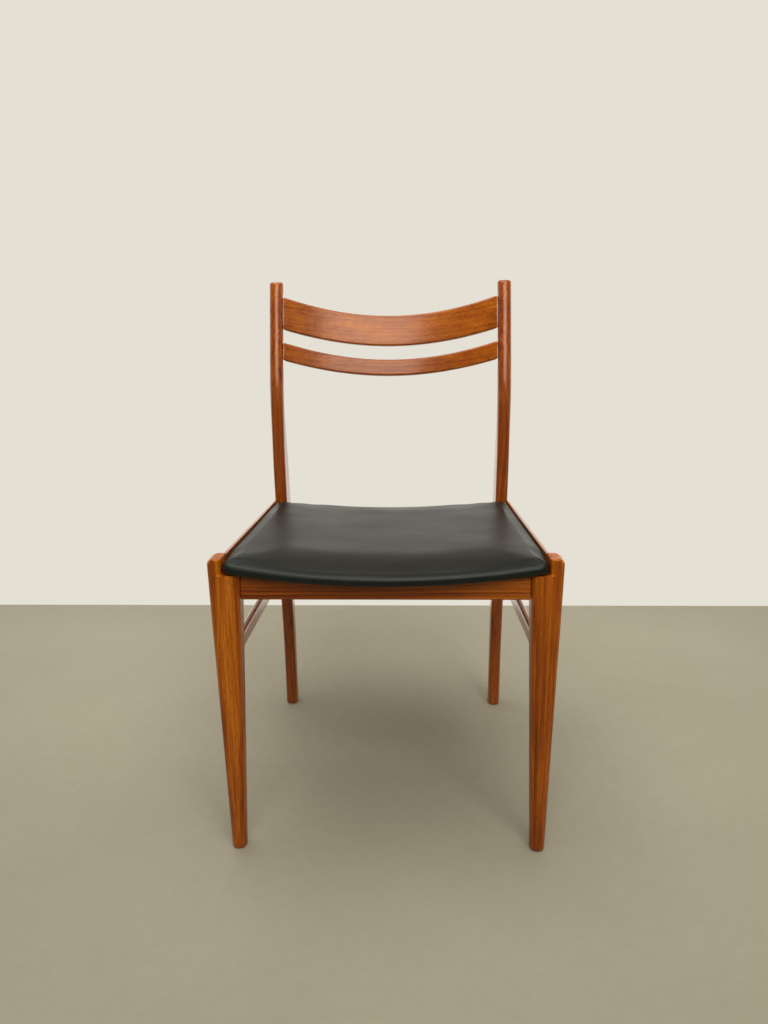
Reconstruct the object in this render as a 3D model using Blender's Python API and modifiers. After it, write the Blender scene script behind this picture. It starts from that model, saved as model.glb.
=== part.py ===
"""Mid-century dining chair: teak frame with horned front legs, bowed back slats and a dished, padded seat.

Metres, +Z up, the chair faces -Y. Left is the -X side, as seen from in front of the chair.
While it is modelled, y = 0 is the line through the front feet. The last step centres the chair on the origin.
"""

import math

import bmesh
import bpy
from mathutils import Matrix, Vector

# ---------------------------------------------------------------- overall sizes
CHAIR_HEIGHT = 0.790
HORN_HEIGHT = 0.436        # top of the front legs
FRONT_HALF_WIDTH = 0.2290  # outer face of a front leg at its top
REAR_HALF_SPACING = 0.1963  # centre plane of a rear post
REAR_FOOT_Y = 0.4215
GAP = 0.0003               # between pieces that touch

# ---------------------------------------------------------------- front legs
LEG_TOP_WIDTH = 0.0426
LEG_FOOT_WIDTH = 0.0205
LEG_OUTER_TAPER = 0.0068   # the outer face runs in by this much, top to foot
LEG_TOP_FRONT, LEG_TOP_BACK = 0.0190, 0.0140
LEG_FOOT_HALF_DEPTH = 0.0110
HORN_CORNER = 0.0085       # rounding of the horn's outer top corner
HORN_TOP_EDGE = 0.0020
HORN_WALL_INSET = 0.0185   # from the leg's outer face in to the seat's notch
HORN_INNER_CHAMFER = 0.0020
NOTCH_FILLET = 0.0015
FOOT_EDGE = 0.0025
LEG_FOOT_CORNER = 0.0098   # corner radii in plan: all four at the foot, then each at the top
LEG_TOP_CORNERS = (0.0090, 0.0070, 0.0030, 0.0096)  # front outer, back outer, back inner, front inner

# ---------------------------------------------------------------- rear posts
POST_LEAN = math.radians(14.6)
POST_TOP_DIAMETER = 0.0235
POST_TOP_EDGE = 0.0045
POST_WIDTH = 0.0210
POST_SEAT_DEPTH = 0.0460
POST_FOOT_DEPTH = 0.0260
POST_CORNER = 0.0042
POST_FOOT_CORNER = 0.0080
POST_SEAT_Y = REAR_FOOT_Y - 0.0140
POST_BEND_Y = REAR_FOOT_Y - 0.0317
POST_BEND_HEIGHT = HORN_HEIGHT + 0.164
POST_ROUND_HEIGHT = HORN_HEIGHT + 0.179  # the round upper part starts here
POST_BENDS = 0.080, 0.060, 0.035         # half the length of each of the three bends, from the lowest

# ---------------------------------------------------------------- rails and stretchers
RAIL_THICKNESS = 0.0220
SIDE_RAIL_OUTER_FRONT = FRONT_HALF_WIDTH - 0.0145
SIDE_RAIL_OUTER_REAR = REAR_HALF_SPACING + 0.0122
SIDE_RAIL_LIP = 0.0045     # the strip of rail that shows beside the seat
SIDE_RAIL_HEIGHT = 0.0660
SIDE_RAIL_FRONT_DROP = 0.0008  # its top below the horn's
SIDE_RAIL_REAR_DROP = 0.0012   # its top below the seat's edge
FRONT_RAIL_BACK_Y = LEG_TOP_BACK - 0.0030
FRONT_RAIL_BOTTOM = HORN_HEIGHT - 0.0570
REAR_RAIL_BOTTOM = HORN_HEIGHT - 0.0920
REAR_RAIL_SETBACK = 0.0015     # behind the posts' front faces
RAIL_EDGE = 0.0015
STRETCHER_TOP = 0.703 * HORN_HEIGHT
STRETCHER_HEIGHT = 0.0230
STRETCHER_THICKNESS = 0.0100
STRETCHER_EDGE = 0.0032
STRETCHER_FRONT_X = FRONT_HALF_WIDTH - 0.0225
TENON_SHOULDER = 0.0015
TENON_LENGTH = 0.0110

# ---------------------------------------------------------------- back slats
SLAT_THICKNESS = 0.0110
SLAT_BOW = 0.0420          # how far the middle stands behind the ends
SLAT_DIP = 0.0310          # how far the middle hangs below the ends
SLAT_WAIST = 0.0022        # the top edge dips by this much more, so the middle is narrower
SLAT_EDGE = 0.0024
TOP_SLAT_Z, TOP_SLAT_HEIGHT = CHAIR_HEIGHT - 0.0525, 0.0560
LOWER_SLAT_Z, LOWER_SLAT_HEIGHT = CHAIR_HEIGHT - 0.1160, 0.0310
SLAT_TENON_THICKNESS = 0.0070
SLAT_TENON_SHOULDER = 0.0060
SLAT_TENON_LENGTH = 0.0100
SLAT_TENON_ROOT = 0.0040   # how far the tenon starts inside the slat

# ---------------------------------------------------------------- seat
SEAT_SIDE_GAP = 0.0005
SEAT_EDGE_FRONT_Z = HORN_HEIGHT - 0.0005
SEAT_SLOPE = 0.048
SEAT_DISH = 0.0125
SEAT_CROWN = 0.0045
SEAT_EDGE_THICKNESS = 0.0170
SEAT_ROLL = 0.0070
SEAT_FRONT_Y = -0.0225     # at the corners
SEAT_FRONT_BOW = 0.0180
SEAT_REAR_GAP = 0.0025     # to the rear posts
SEAT_REAR_BOW = 0.0135     # between the posts it reaches back over the rear rail
SEAT_CORNER = 0.0110
COVER_THICKNESS = 0.0012
COVER_TUCK = 0.0160        # turned in under the board
COVER_RIM = ((0.35, 0.0), (0.85, 0.0004), (1.0, 0.0020))  # share of the way down, and inset
LAYER_GAP = 0.0004
BOARD_THICKNESS = 0.0060
BOARD_INSET = 0.0040
FOAM_INSET = 0.0125
SEAT_STEPS = 16

# ---------------------------------------------------------------- fixings
DOWEL_RADIUS = 0.0040
DOWEL_LENGTH = 0.0320
DOWEL_END_CLEARANCE = 0.0010
DOWEL_SIDES = 16
DOWEL_STEP = 0.0090        # between a dowel and its neighbour from the other rail
DOWEL_EDGE = 0.0095        # from a rail's lower edge up to its first dowel
BLOCK_LEG = 0.0460
BLOCK_HEIGHT = 0.0180
BLOCK_DROP = 0.0035        # the block's top lies this far below the seat
BLOCK_STEP = 0.0005        # the least step where it passes from the rail to the leg
BLOCK_HOLE_RUN = 0.0100    # the cutter starts this far below the block
SCREW_RADIUS = 0.0020
SCREW_HEAD_RADIUS = 0.0042
SCREW_HEAD_HEIGHT = 0.0024
SCREW_BITE = 0.0042        # how deep it goes into the board
SCREW_INSET_X, SCREW_INSET_Y = 0.0105, 0.0260  # from the block's corner

RING_ARC_STEPS = 4
SIDES = (("left", -1), ("right", 1))

parts = None
cutters = None


# ---------------------------------------------------------------- scene helpers
def clear_scene():
    for obj in list(bpy.data.objects):
        bpy.data.objects.remove(obj, do_unlink=True)


def new_collection(name, hidden):
    collection = bpy.data.collections.new(name)
    bpy.context.scene.collection.children.link(collection)
    collection.hide_render = hidden
    return collection


def material(name, colour, roughness, metallic=0.0):
    found = bpy.data.materials.get(name)
    if found:
        return found
    made = bpy.data.materials.new(name)
    made.use_nodes = True
    shader = made.node_tree.nodes["Principled BSDF"]
    shader.inputs["Base Color"].default_value = (*colour, 1.0)
    shader.inputs["Roughness"].default_value = roughness
    shader.inputs["Metallic"].default_value = metallic
    made.diffuse_color = (*colour, 1.0)
    return made


def teak():
    return material("teak", (0.30, 0.115, 0.035), 0.42)


def beech():
    return material("beech", (0.62, 0.43, 0.25), 0.6)


def plywood():
    return material("plywood", (0.55, 0.40, 0.24), 0.65)


def foam():
    return material("foam", (0.75, 0.68, 0.45), 0.95)


def leatherette():
    return material("leatherette", (0.035, 0.034, 0.030), 0.38)


def steel():
    return material("steel", (0.55, 0.55, 0.56), 0.35, 1.0)


def place(name, mesh_data, look, smooth=True):
    """A sub-part from a bmesh, with its faces turned outwards."""
    mesh_data.normal_update()
    bmesh.ops.recalc_face_normals(mesh_data, faces=mesh_data.faces)
    mesh = bpy.data.meshes.new(name)
    mesh_data.to_mesh(mesh)
    mesh_data.free()
    for face in mesh.polygons:
        face.use_smooth = smooth
    obj = bpy.data.objects.new(name, mesh)
    parts.objects.link(obj)
    mesh.materials.append(look)
    return obj


def place_cutter(name, mesh_data):
    mesh_data.normal_update()
    bmesh.ops.recalc_face_normals(mesh_data, faces=mesh_data.faces)
    mesh = bpy.data.meshes.new(name)
    mesh_data.to_mesh(mesh)
    mesh_data.free()
    obj = bpy.data.objects.new(name, mesh)
    cutters.objects.link(obj)
    obj.hide_render = True
    obj.display_type = "WIRE"
    return obj


def boolean(target, other, operation):
    modifier = target.modifiers.new(f"{operation.lower()} {other.name}", "BOOLEAN")
    modifier.operation = operation
    modifier.object = other
    modifier.solver = "EXACT"


def cut(target, cutter):
    boolean(target, cutter, "DIFFERENCE")


def join(target, other):
    boolean(target, other, "UNION")


def bevel(obj, width, segments=2):
    modifier = obj.modifiers.new("rounded edges", "BEVEL")
    modifier.width = width
    modifier.segments = segments
    modifier.limit_method = "ANGLE"
    modifier.angle_limit = math.radians(40)


# ---------------------------------------------------------------- shape helpers
def mix(a, b, share):
    return a + (b - a) * share


def clamp(value, low=0.0, high=1.0):
    return max(low, min(high, value))


def smooth(share):
    share = clamp(share)
    return share * share * (3 - 2 * share)


def rounding(radius, distance):
    """How far a rounded edge of this radius stands in, this far from the face it meets."""
    if distance >= radius:
        return 0.0
    return radius - math.sqrt(radius * radius - (radius - distance) ** 2)


def rounded_ring(x0, x1, y0, y1, z, radii):
    """Points round a rectangle. radii are those of the corners x1y0, x1y1, x0y1, x0y0."""
    most = min(x1 - x0, y1 - y0) / 2 - 1e-5
    corners = ((x1, y0, 1, -1), (x1, y1, 1, 1), (x0, y1, -1, 1), (x0, y0, -1, -1))
    ring = []
    for number, (x, y, sx, sy) in enumerate(corners):
        radius = min(radii[number], most)
        centre = Vector((x - sx * radius, y - sy * radius, z))
        start = -math.pi / 2 + number * math.pi / 2
        for step in range(RING_ARC_STEPS + 1):
            angle = start + step * math.pi / 2 / RING_ARC_STEPS
            ring.append(centre + radius * Vector((math.cos(angle), math.sin(angle), 0)))
    return ring


def loft(rings):
    """A closed bmesh through rings of equal length."""
    made = bmesh.new()
    rows = [[made.verts.new(point) for point in ring] for ring in rings]
    count = len(rows[0])
    for low, high in zip(rows, rows[1:]):
        for i in range(count):
            j = (i + 1) % count
            made.faces.new((low[i], low[j], high[j], high[i]))
    made.faces.new(list(reversed(rows[0])))
    made.faces.new(rows[-1])
    return made


def mirrored(rings, side):
    return [[Vector((side * p.x, p.y, p.z)) for p in ring] for ring in rings]


def box(size, centre, cuts_along_x=0):
    made = bmesh.new()
    bmesh.ops.create_cube(made, size=1.0)
    bmesh.ops.scale(made, vec=Vector(size), verts=made.verts)
    if cuts_along_x:
        along = [e for e in made.edges if abs((e.verts[0].co - e.verts[1].co).x) > size[0] / 2]
        bmesh.ops.subdivide_edges(made, edges=along, cuts=cuts_along_x, use_grid_fill=True)
    bmesh.ops.translate(made, vec=Vector(centre), verts=made.verts)
    return made


def cylinder(radius, length, centre, axis):
    """A closed cylinder along +X or +Y."""
    made = bmesh.new()
    bmesh.ops.create_cone(made, cap_ends=True, segments=DOWEL_SIDES, radius1=radius, radius2=radius, depth=length)
    turn = Matrix.Rotation(math.pi / 2, 4, "Y" if axis == "X" else "X")
    bmesh.ops.rotate(made, cent=(0, 0, 0), matrix=turn.to_3x3(), verts=made.verts)
    bmesh.ops.translate(made, vec=Vector(centre), verts=made.verts)
    return made


def prism(outline, z0, z1):
    return loft([[Vector((x, y, z)) for x, y in outline] for z in (z0, z1)])


# ---------------------------------------------------------------- sizes that several pieces share
def leg_outer(z):
    return FRONT_HALF_WIDTH - LEG_OUTER_TAPER * (1 - clamp(z / HORN_HEIGHT))


def leg_inner(z):
    share = clamp(z / HORN_HEIGHT)
    return leg_outer(z) - mix(LEG_FOOT_WIDTH, LEG_TOP_WIDTH, share)


def leg_front(z):
    return -mix(LEG_FOOT_HALF_DEPTH, LEG_TOP_FRONT, clamp(z / HORN_HEIGHT))


def leg_back(z):
    return mix(LEG_FOOT_HALF_DEPTH, LEG_TOP_BACK, clamp(z / HORN_HEIGHT))


def seat_level():
    """Where the side rails meet the rear posts."""
    return seat_edge_z(POST_SEAT_Y)


def past_bend(z, corner, half):
    """How far z is past a corner that is rounded over half on each side of it."""
    share = clamp((z - corner) / half, -1, 1)
    return half * (share + 1) ** 2 / 4 + max(0.0, z - corner - half)


def post_y(z):
    """Centre of the rear post in side view: a nearly straight leg that bends into the leaning back."""
    low = 0.23 * HORN_HEIGHT
    leg = (POST_SEAT_Y - REAR_FOOT_Y) / (HORN_HEIGHT - low)
    neck = (POST_BEND_Y - POST_SEAT_Y) / (POST_BEND_HEIGHT - HORN_HEIGHT)
    turns = ((low, leg), (HORN_HEIGHT, neck - leg), (POST_BEND_HEIGHT, math.tan(POST_LEAN) - neck))
    return REAR_FOOT_Y + sum(
        turn * past_bend(z, corner, half) for (corner, turn), half in zip(turns, POST_BENDS)
    )


def post_depth(z):
    if z < HORN_HEIGHT:
        return mix(POST_FOOT_DEPTH, POST_SEAT_DEPTH, smooth((z - 0.2 * HORN_HEIGHT) / (0.7 * HORN_HEIGHT)))
    share = smooth((z - HORN_HEIGHT) / (POST_ROUND_HEIGHT - HORN_HEIGHT))
    return mix(POST_SEAT_DEPTH, POST_TOP_DIAMETER, share)


def post_width(z):
    share = smooth((z - 1.15 * HORN_HEIGHT) / (POST_ROUND_HEIGHT - 1.15 * HORN_HEIGHT))
    return mix(POST_WIDTH, POST_TOP_DIAMETER, share)


def post_corner(z):
    foot = smooth(1 - z / (0.7 * HORN_HEIGHT))
    top = smooth((z - 1.1 * HORN_HEIGHT) / (POST_ROUND_HEIGHT - 1.1 * HORN_HEIGHT))
    return max(mix(POST_CORNER, POST_FOOT_CORNER, foot), mix(POST_CORNER, POST_TOP_DIAMETER / 2, top))


def post_front(z):
    """The front face as the loft makes it, straight between one level and the next."""
    levels = post_levels()
    above = next((i for i, level in enumerate(levels) if level >= z and i), len(levels) - 1)
    low, high = levels[above - 1], levels[above]
    faces = [post_y(level) - post_depth(level) / 2 for level in (low, high)]
    return mix(*faces, (z - low) / (high - low))


def post_inner(z):
    return REAR_HALF_SPACING - post_width(z) / 2


def seat_edge_z(y):
    return SEAT_EDGE_FRONT_Z - SEAT_SLOPE * (y - SEAT_FRONT_Y)


def rail_top(y):
    """Top of a side rail: it runs on from the horn's top."""
    return mix(HORN_HEIGHT - SIDE_RAIL_FRONT_DROP, seat_level() - SIDE_RAIL_REAR_DROP, y / POST_SEAT_Y)


def rail_outer(y):
    return mix(SIDE_RAIL_OUTER_FRONT, SIDE_RAIL_OUTER_REAR, y / POST_SEAT_Y)


def seat_half_width(y):
    return rail_outer(y) - SIDE_RAIL_LIP - SEAT_SIDE_GAP


def seat_rear_y():
    return post_front(seat_level()) - SEAT_REAR_GAP


def seat_under(x, y):
    """The padded seat's underside, which the board, the rails and the cover follow."""
    across = clamp(abs(x) / seat_half_width(y))
    return seat_edge_z(y) - SEAT_EDGE_THICKNESS - SEAT_DISH * (1 - across * across)


# ---------------------------------------------------------------- front legs
def leg_ring(z, top):
    """One section of the right front leg. The insets round the horn's top edges and the foot's."""
    edge = rounding(HORN_TOP_EDGE, top - z) + rounding(FOOT_EDGE, z)
    outer_inset = max(rounding(HORN_CORNER, top - z), edge)
    share = clamp(z / HORN_HEIGHT)
    return rounded_ring(
        leg_inner(z) + edge,
        leg_outer(z) - outer_inset,
        leg_front(z) + edge,
        leg_back(z) - edge,
        z,
        [mix(LEG_FOOT_CORNER, corner, share) for corner in LEG_TOP_CORNERS],
    )


def leg_levels():
    foot = [0.0, 0.0003, 0.0010, FOOT_EDGE]
    body = [HORN_HEIGHT * share for share in (0.12, 0.28, 0.44, 0.60, 0.76, 0.90)]
    horn = [HORN_HEIGHT - HORN_CORNER * share for share in (1.0, 0.70, 0.45, 0.235, 0.12, 0.04, 0.0)]
    return foot + body + horn


def notch_profile():
    """The seat's place in the horn, in the XZ plane: (x, z) round the cutter for the right leg."""
    wall = FRONT_HALF_WIDTH - HORN_WALL_INSET
    floor = seat_under(leg_inner(HORN_HEIGHT), leg_back(HORN_HEIGHT)) - GAP
    above = HORN_HEIGHT + 0.02
    inside = leg_inner(HORN_HEIGHT) - 0.02
    return (
        (inside, floor),
        (wall - NOTCH_FILLET, floor),
        (wall, floor + NOTCH_FILLET),
        (wall, HORN_HEIGHT - HORN_INNER_CHAMFER),
        (wall + HORN_INNER_CHAMFER, HORN_HEIGHT + GAP),
        (wall + HORN_INNER_CHAMFER, above),
        (inside, above),
    )


def make_front_leg(label, side):
    top = HORN_HEIGHT
    leg = place(f"front_leg_{label}", loft(mirrored([leg_ring(z, top) for z in leg_levels()], side)), teak())
    profile = notch_profile()
    rows = [[Vector((side * x, y, z)) for x, z in profile] for y in (-0.05, 0.05)]
    cut(leg, place_cutter(f"cut_notch_{label}", loft(rows)))
    return leg


# ---------------------------------------------------------------- rear posts
def post_levels():
    count = 34
    levels = [0.0, 0.0003, 0.0010, FOOT_EDGE]
    levels += [mix(FOOT_EDGE, CHAIR_HEIGHT - POST_TOP_EDGE, (i + 1) / count) for i in range(count)]
    levels += [CHAIR_HEIGHT - POST_TOP_EDGE * share for share in (0.62, 0.3, 0.08, 0.0)]
    return levels


def post_ring(z):
    edge = rounding(POST_TOP_EDGE, CHAIR_HEIGHT - z) + rounding(FOOT_EDGE, z)
    half_width, half_depth = post_width(z) / 2 - edge, post_depth(z) / 2 - edge
    return rounded_ring(
        REAR_HALF_SPACING - half_width,
        REAR_HALF_SPACING + half_width,
        post_y(z) - half_depth,
        post_y(z) + half_depth,
        z,
        (post_corner(z),) * 4,
    )


def make_rear_post(label, side):
    rings = mirrored([post_ring(z) for z in post_levels()], side)
    return place(f"rear_post_{label}", loft(rings), teak())


# ---------------------------------------------------------------- rails
def dished_rail(name, middle_y, bottom, reach):
    """Straight below, dished above to follow the seat. Its middle and half length are given at each height."""
    made = box((2.0, RAIL_THICKNESS, 1.0), (0, 0, 0.5), cuts_along_x=15)
    for vertex in made.verts:
        share, through = vertex.co.x, vertex.co.y
        x, y, z = share * reach(bottom), middle_y(bottom) + through, bottom
        if vertex.co.z > 0.5:
            y = middle_y(seat_under(x, y)) + through
            x = share * reach(seat_under(x, y))
            z = seat_under(x, y) - GAP
        vertex.co = (x, y, z)
    rail = place(name, made, teak(), smooth=False)
    bevel(rail, RAIL_EDGE)
    return rail


def front_rail_y():
    return FRONT_RAIL_BACK_Y - RAIL_THICKNESS / 2


def make_front_rail():
    return dished_rail("front_rail", lambda z: front_rail_y(), FRONT_RAIL_BOTTOM, lambda z: leg_inner(z) - GAP)


def rear_rail_y(z):
    """The rear rail leans with the posts' front faces."""
    return post_front(z) + REAR_RAIL_SETBACK + RAIL_THICKNESS / 2


def make_rear_rail():
    return dished_rail("rear_rail", rear_rail_y, REAR_RAIL_BOTTOM, lambda z: post_inner(z) - GAP)


def side_rail_section(y, side):
    """The rebated section: a thin lip outside the seat and a ledge under it. Listed anticlockwise from in front."""
    outer, top = rail_outer(y), rail_top(y)
    inner = outer - RAIL_THICKNESS
    ledge = seat_under(inner, y) - GAP
    lip = outer - SIDE_RAIL_LIP
    bottom = top - SIDE_RAIL_HEIGHT
    edge = RAIL_EDGE
    return [
        Vector((side * x, 0, z))
        for x, z in (
            (inner, bottom + edge),
            (inner + edge, bottom),
            (outer - edge, bottom),
            (outer, bottom + edge),
            (outer, top - edge),
            (outer - 0.3 * edge, top - 0.3 * edge),
            (outer - edge, top),
            (lip + 0.5 * edge, top),
            (lip, top - 0.5 * edge),
            (lip, ledge),
            (inner, ledge),
        )
    ]


def make_side_rail(label, side):
    """From the front leg's back face to the rear post's front face, which both lean a little."""
    rings = []
    for share in (0.0, 0.25, 0.5, 0.75, 1.0):
        y = mix(LEG_TOP_BACK, post_front(seat_level()), share)
        ring = side_rail_section(y, side)
        for point in ring:
            front, rear = leg_back(point.z) + GAP, post_front(point.z) - 2 * GAP
            point.y = mix(front, rear, share)
        rings.append(ring)
    return place(f"side_rail_{label}", loft(rings), teak(), smooth=False)


# ---------------------------------------------------------------- side stretchers
def stretcher_x(y):
    front, rear = leg_back(STRETCHER_TOP), post_front(STRETCHER_TOP)
    return mix(STRETCHER_FRONT_X, REAR_HALF_SPACING, (y - front) / (rear - front))


def stretcher_bar(thickness, height, overrun, side):
    """A bar between the leg and the post, run on by overrun into each of them."""
    made = box((1, 1, 1), (0, 0, 0))
    middle = STRETCHER_TOP - STRETCHER_HEIGHT / 2
    for vertex in made.verts:
        across, along, up = vertex.co
        z = middle + up * height
        y = leg_back(z) + GAP - overrun if along < 0 else post_front(z) - GAP + overrun
        vertex.co = (side * (stretcher_x(y) + across * thickness), y, z)
    return made


def make_stretcher(label, side):
    bar = place(
        f"side_stretcher_{label}",
        stretcher_bar(STRETCHER_THICKNESS, STRETCHER_HEIGHT, 0.0, side),
        teak(),
        smooth=False,
    )
    bevel(bar, STRETCHER_EDGE, 3)
    thickness = STRETCHER_THICKNESS - 2 * TENON_SHOULDER
    height = STRETCHER_HEIGHT - 4 * TENON_SHOULDER
    join(bar, place_cutter(f"tenons_{label}", stretcher_bar(thickness, height, TENON_LENGTH, side)))
    return bar


def cut_stretcher_mortises(leg, post, label, side):
    thickness = STRETCHER_THICKNESS - 2 * TENON_SHOULDER + 2 * GAP
    height = STRETCHER_HEIGHT - 4 * TENON_SHOULDER + 2 * GAP
    room = place_cutter(
        f"cut_tenons_{label}", stretcher_bar(thickness, height, TENON_LENGTH + 2 * GAP, side)
    )
    cut(leg, room)
    cut(post, room)


# ---------------------------------------------------------------- back slats
def slat_end_x():
    return REAR_HALF_SPACING - POST_TOP_DIAMETER / 2 - GAP


def slat_point(x, height, depth, centre_z):
    """A point of a slat from its place along, up and through it. The slat leans with the posts."""
    bulge = 1 - clamp(abs(x) / slat_end_x()) ** 2
    height -= SLAT_WAIST * bulge * (height > 0)
    y = post_y(centre_z) + SLAT_BOW * bulge
    z = centre_z - SLAT_DIP * bulge
    up = Vector((0, math.sin(POST_LEAN), math.cos(POST_LEAN)))
    back = Vector((0, math.cos(POST_LEAN), -math.sin(POST_LEAN)))
    return Vector((x, y, z)) + up * height + back * depth


def slat_bar(half_length, height, thickness, centre_z, cuts):
    made = box((2 * half_length, thickness, height), (0, 0, 0), cuts_along_x=cuts)
    for vertex in made.verts:
        x, depth, up = vertex.co
        vertex.co = slat_point(x, up, depth, centre_z)
    return made


def slat_tenon(side, height, thickness, centre_z, spare):
    """A stub on the slat's end. Its inner end lies inside the slat, which it is joined to."""
    inner = slat_end_x() - SLAT_TENON_ROOT
    outer = slat_end_x() + SLAT_TENON_LENGTH + spare
    made = box((outer - inner, thickness, height), (0, 0, 0))
    for vertex in made.verts:
        x, depth, up = vertex.co
        end = slat_point(slat_end_x(), up, depth, centre_z)
        vertex.co = Vector((side * (x + (inner + outer) / 2), end.y, end.z))
    return made


def make_slat(name, centre_z, height, posts):
    slat = place(name, slat_bar(slat_end_x(), height, SLAT_THICKNESS, centre_z, 21), teak())
    bevel(slat, SLAT_EDGE, 3)
    tenon_height = height - 2 * SLAT_TENON_SHOULDER
    for label, side in SIDES:
        stub = slat_tenon(side, tenon_height, SLAT_TENON_THICKNESS, centre_z, 0.0)
        join(slat, place_cutter(f"{name}_tenon_{label}", stub))
        room = slat_tenon(
            side, tenon_height + 2 * GAP, SLAT_TENON_THICKNESS + 2 * GAP, centre_z, GAP
        )
        cut(posts[label], place_cutter(f"cut_{name}_{label}", room))
    return slat


# ---------------------------------------------------------------- dowels
def dowel(name, centre, axis, into):
    """A dowel across a joint, and its hole in each of the two pieces it holds."""
    peg = place(name, cylinder(DOWEL_RADIUS, DOWEL_LENGTH, centre, axis), beech())
    hole = cylinder(DOWEL_RADIUS + GAP, DOWEL_LENGTH + 2 * DOWEL_END_CLEARANCE, centre, axis)
    room = place_cutter(f"cut_{name}", hole)
    for piece in into:
        cut(piece, room)
    return peg


def make_dowels(legs, posts, rails):
    """Two dowels at each rail joint. Those of the side rails pass between those of the other rails."""
    front_low = FRONT_RAIL_BOTTOM + DOWEL_EDGE
    rear_low = REAR_RAIL_BOTTOM + DOWEL_EDGE
    for label, side in SIDES:
        for number, step in (("lower", 0), ("upper", 2)):
            z = front_low + step * DOWEL_STEP
            centre = (side * (leg_inner(z) - GAP / 2), front_rail_y(), z)
            dowel(f"dowel_front_rail_{label}_{number}", centre, "X", (legs[label], rails["front"]))

            z = rear_low + step * DOWEL_STEP
            centre = (side * (post_inner(z) - GAP / 2), rear_rail_y(z), z)
            dowel(f"dowel_rear_rail_{label}_{number}", centre, "X", (posts[label], rails["rear"]))

            z = front_low + (step - 1) * DOWEL_STEP
            x = side * (rail_outer(LEG_TOP_BACK) - RAIL_THICKNESS / 2)
            centre = (x, leg_back(z) + GAP / 2, z)
            dowel(f"dowel_side_rail_{label}_front_{number}", centre, "Y", (legs[label], rails[label]))

            z = rear_low + (step + 1) * DOWEL_STEP
            x = side * (rail_outer(post_front(z)) - RAIL_THICKNESS / 2)
            centre = (x, post_front(z) - GAP / 2, z)
            dowel(f"dowel_side_rail_{label}_rear_{number}", centre, "Y", (posts[label], rails[label]))


# ---------------------------------------------------------------- corner blocks and seat screws
def block_outline(end, side):
    """A corner block in plan. It clears the leg or post, whose corner stands inside the rails' corner."""
    if end == "front":
        rail_face = FRONT_RAIL_BACK_Y + GAP
        post_face = max(LEG_TOP_BACK + GAP, rail_face + BLOCK_STEP)
        post_side, away = leg_inner(HORN_HEIGHT) - GAP, 1
    else:
        rail_face = rear_rail_y(seat_level()) - RAIL_THICKNESS / 2 - GAP
        post_face = min(post_front(seat_level()) - GAP, rail_face - BLOCK_STEP)
        post_side, away = post_inner(REAR_RAIL_BOTTOM) - GAP, -1
    corner = rail_outer(post_face) - RAIL_THICKNESS - GAP
    far = post_face + away * BLOCK_LEG
    corner_far = rail_outer(far) - RAIL_THICKNESS - GAP
    inner = min(post_side, corner) - GAP
    points = (
        (corner, post_face),
        (corner_far, far),
        (inner - BLOCK_LEG, rail_face),
        (inner, rail_face),
        (inner, post_face),
    )
    return [(side * x, y) for x, y in points]


def screw_place(end):
    face = LEG_TOP_BACK if end == "front" else post_front(seat_level())
    y = face + SCREW_INSET_Y * (1 if end == "front" else -1)
    return rail_outer(y) - RAIL_THICKNESS - SCREW_INSET_X, y


def block_top(end):
    """Below the seat over the whole block."""
    x, y = screw_place(end)
    return seat_under(x - BLOCK_LEG / 2, y + (0 if end == "front" else SCREW_INSET_Y)) - BLOCK_DROP


def make_screw(name, x, y, z0, z1):
    """A round-headed screw standing on its head, turned about Z."""
    shank = SCREW_RADIUS
    profile = (
        (0.0, z0 - SCREW_HEAD_HEIGHT),
        (0.6 * SCREW_HEAD_RADIUS, z0 - 0.88 * SCREW_HEAD_HEIGHT),
        (0.9 * SCREW_HEAD_RADIUS, z0 - 0.55 * SCREW_HEAD_HEIGHT),
        (SCREW_HEAD_RADIUS, z0),
        (shank, z0),
        (shank, z1 - 2 * shank),
        (0.0, z1),
    )
    made = bmesh.new()
    verts = [made.verts.new((radius, 0, z)) for radius, z in profile]
    for a, b in zip(verts, verts[1:]):
        made.edges.new((a, b))
    mesh = bpy.data.meshes.new(name)
    made.to_mesh(mesh)
    made.free()
    screw = bpy.data.objects.new(name, mesh)
    parts.objects.link(screw)
    mesh.materials.append(steel())
    screw.location = (x, y, 0)
    turned = screw.modifiers.new("turned", "SCREW")
    turned.axis = "Z"
    turned.angle = 2 * math.pi
    turned.steps = turned.render_steps = DOWEL_SIDES
    turned.use_merge_vertices = True
    turned.merge_threshold = 0.00001
    turned.use_normal_flip = True
    return screw


def make_blocks_and_screws(board):
    for end in ("front", "rear"):
        top = block_top(end)
        x, y = screw_place(end)
        bottom = top - BLOCK_HEIGHT
        bite = seat_under(x, y) + COVER_THICKNESS + LAYER_GAP + SCREW_BITE
        for label, side in SIDES:
            block = place(
                f"corner_block_{end}_{label}", prism(block_outline(end, side), bottom, top), beech(), smooth=False
            )
            room = bmesh.new()
            low, high = bottom - BLOCK_HOLE_RUN, bite + GAP
            bmesh.ops.create_cone(
                room,
                cap_ends=True,
                segments=DOWEL_SIDES,
                radius1=SCREW_RADIUS + GAP,
                radius2=SCREW_RADIUS + GAP,
                depth=high - low,
            )
            bmesh.ops.translate(room, vec=(side * x, y, (low + high) / 2), verts=room.verts)
            hole = place_cutter(f"cut_screw_{end}_{label}", room)
            cut(block, hole)
            cut(board, hole)
            make_screw(f"seat_screw_{end}_{label}", side * x, y, bottom - GAP, bite)


# ---------------------------------------------------------------- seat
def seat_edges_y(u, x):
    """Front and rear edge of the seat at x, where u is x as a share of the half width."""
    front = SEAT_FRONT_Y - SEAT_FRONT_BOW * (1 - u * u)
    between_posts = clamp(abs(x) / post_inner(seat_level()))
    return front, seat_rear_y() + SEAT_REAR_BOW * (1 - between_posts**4)


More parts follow.
